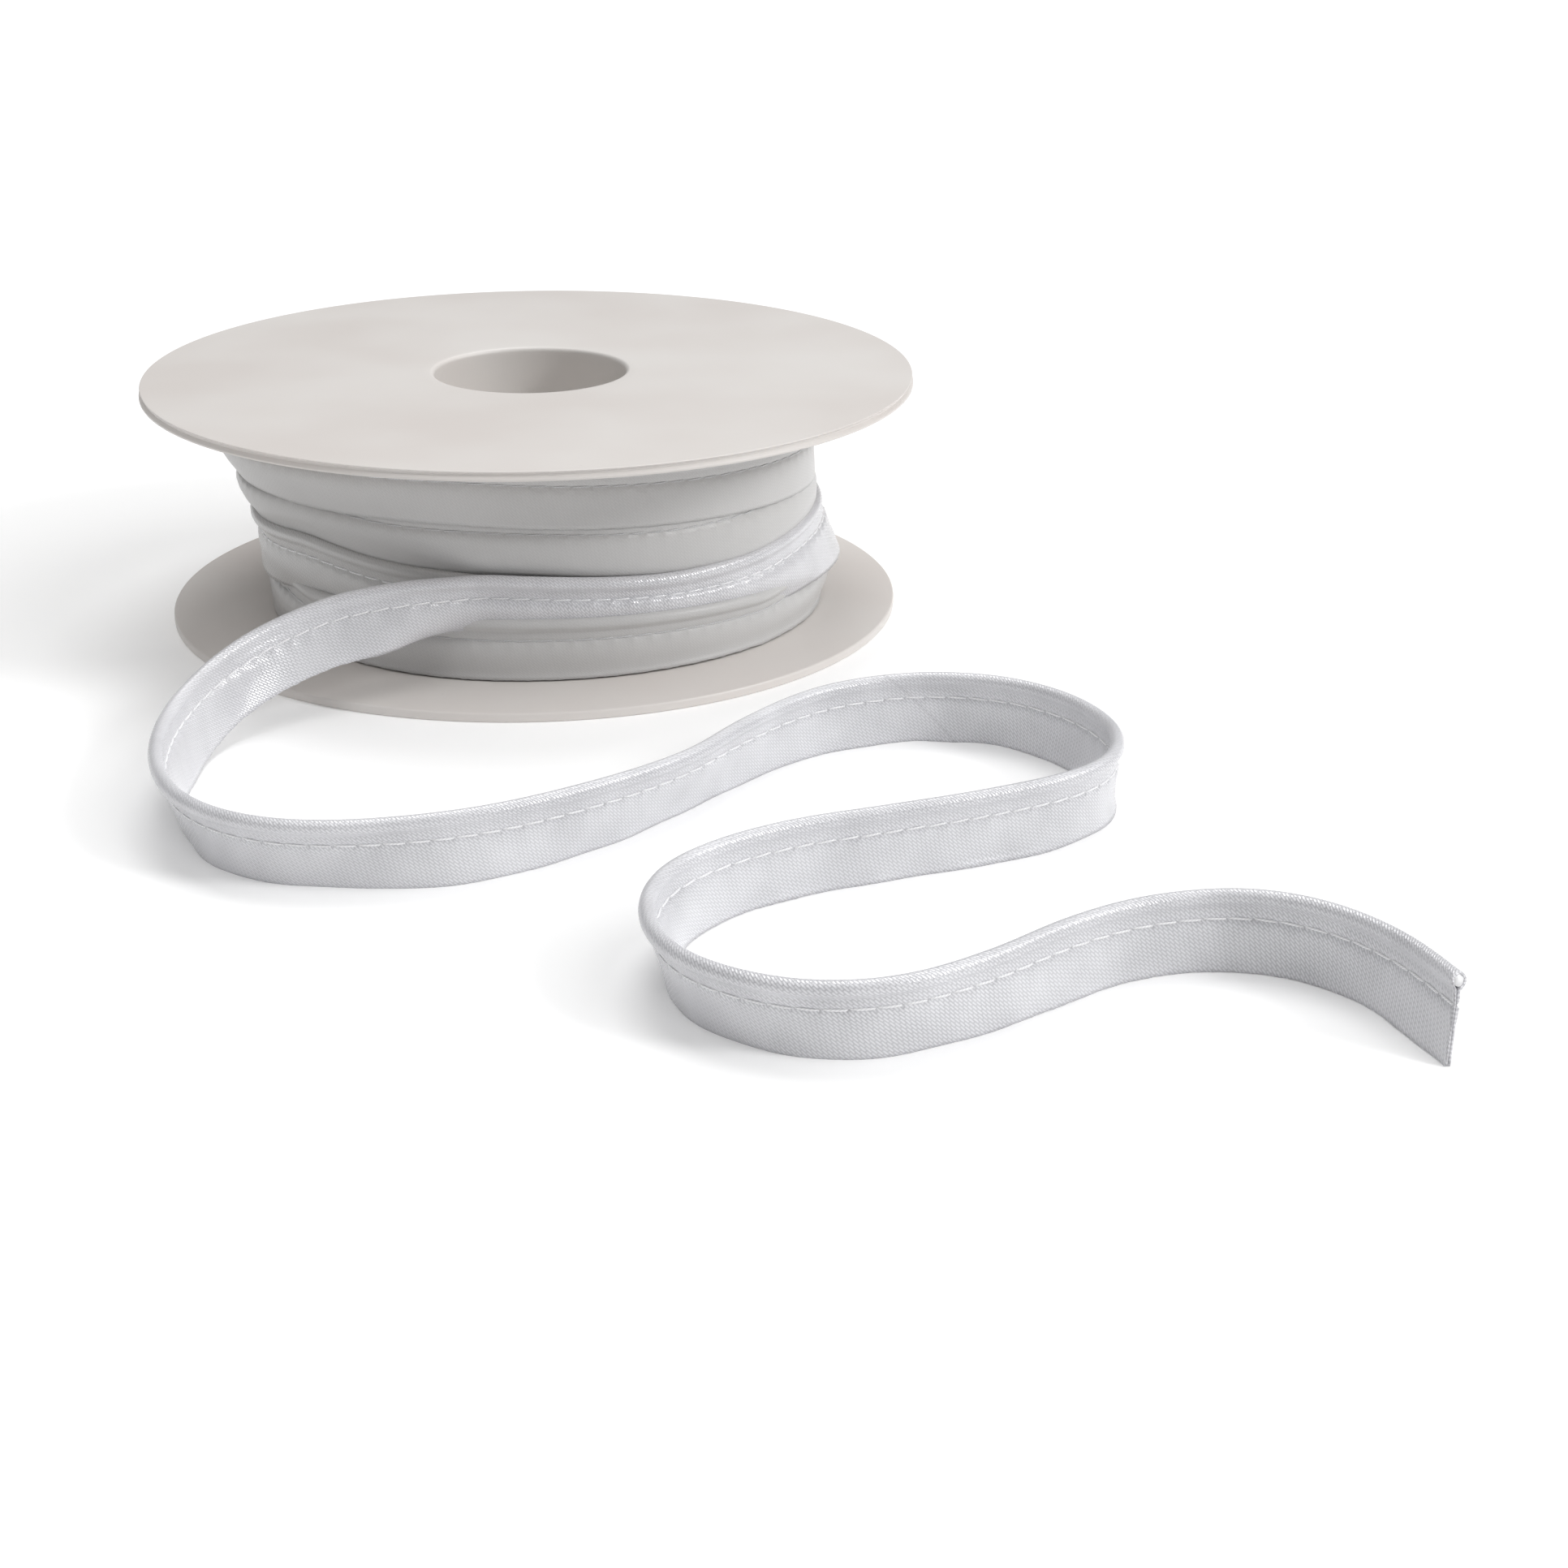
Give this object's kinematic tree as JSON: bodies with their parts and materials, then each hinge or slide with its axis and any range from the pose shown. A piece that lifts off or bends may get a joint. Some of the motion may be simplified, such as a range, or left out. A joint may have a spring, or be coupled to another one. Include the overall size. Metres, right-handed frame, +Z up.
{
  "type": "reel of satin bias piping tape",
  "caption": "White satin bias piping tape, folded over a thin cord and stitched, wound on a flat plastic reel, with its loose end standing on edge in three bends.",
  "frame": {"origin": "on the surface that the reel rests on, under the middle of the whole part's box", "axes": "+Z up along the reel's axis, +Y from the loose end towards the reel, +X to the right seen from the loose end"},
  "size_m": [0.1918, 0.2792, 0.0455],
  "materials": {
    "reel_plastic": "warm white moulded plastic with a faint satin gloss",
    "white_satin": "bright white satin, cut on the bias, with a soft sheen"
  },
  "bodies": {
    "root": {"upper_flange": "reel_plastic", "lower_flange": "reel_plastic", "core_tube": "reel_plastic", "tape_winding": "white_satin", "loose_tape": "white_satin"}
  },
  "joints": []
}
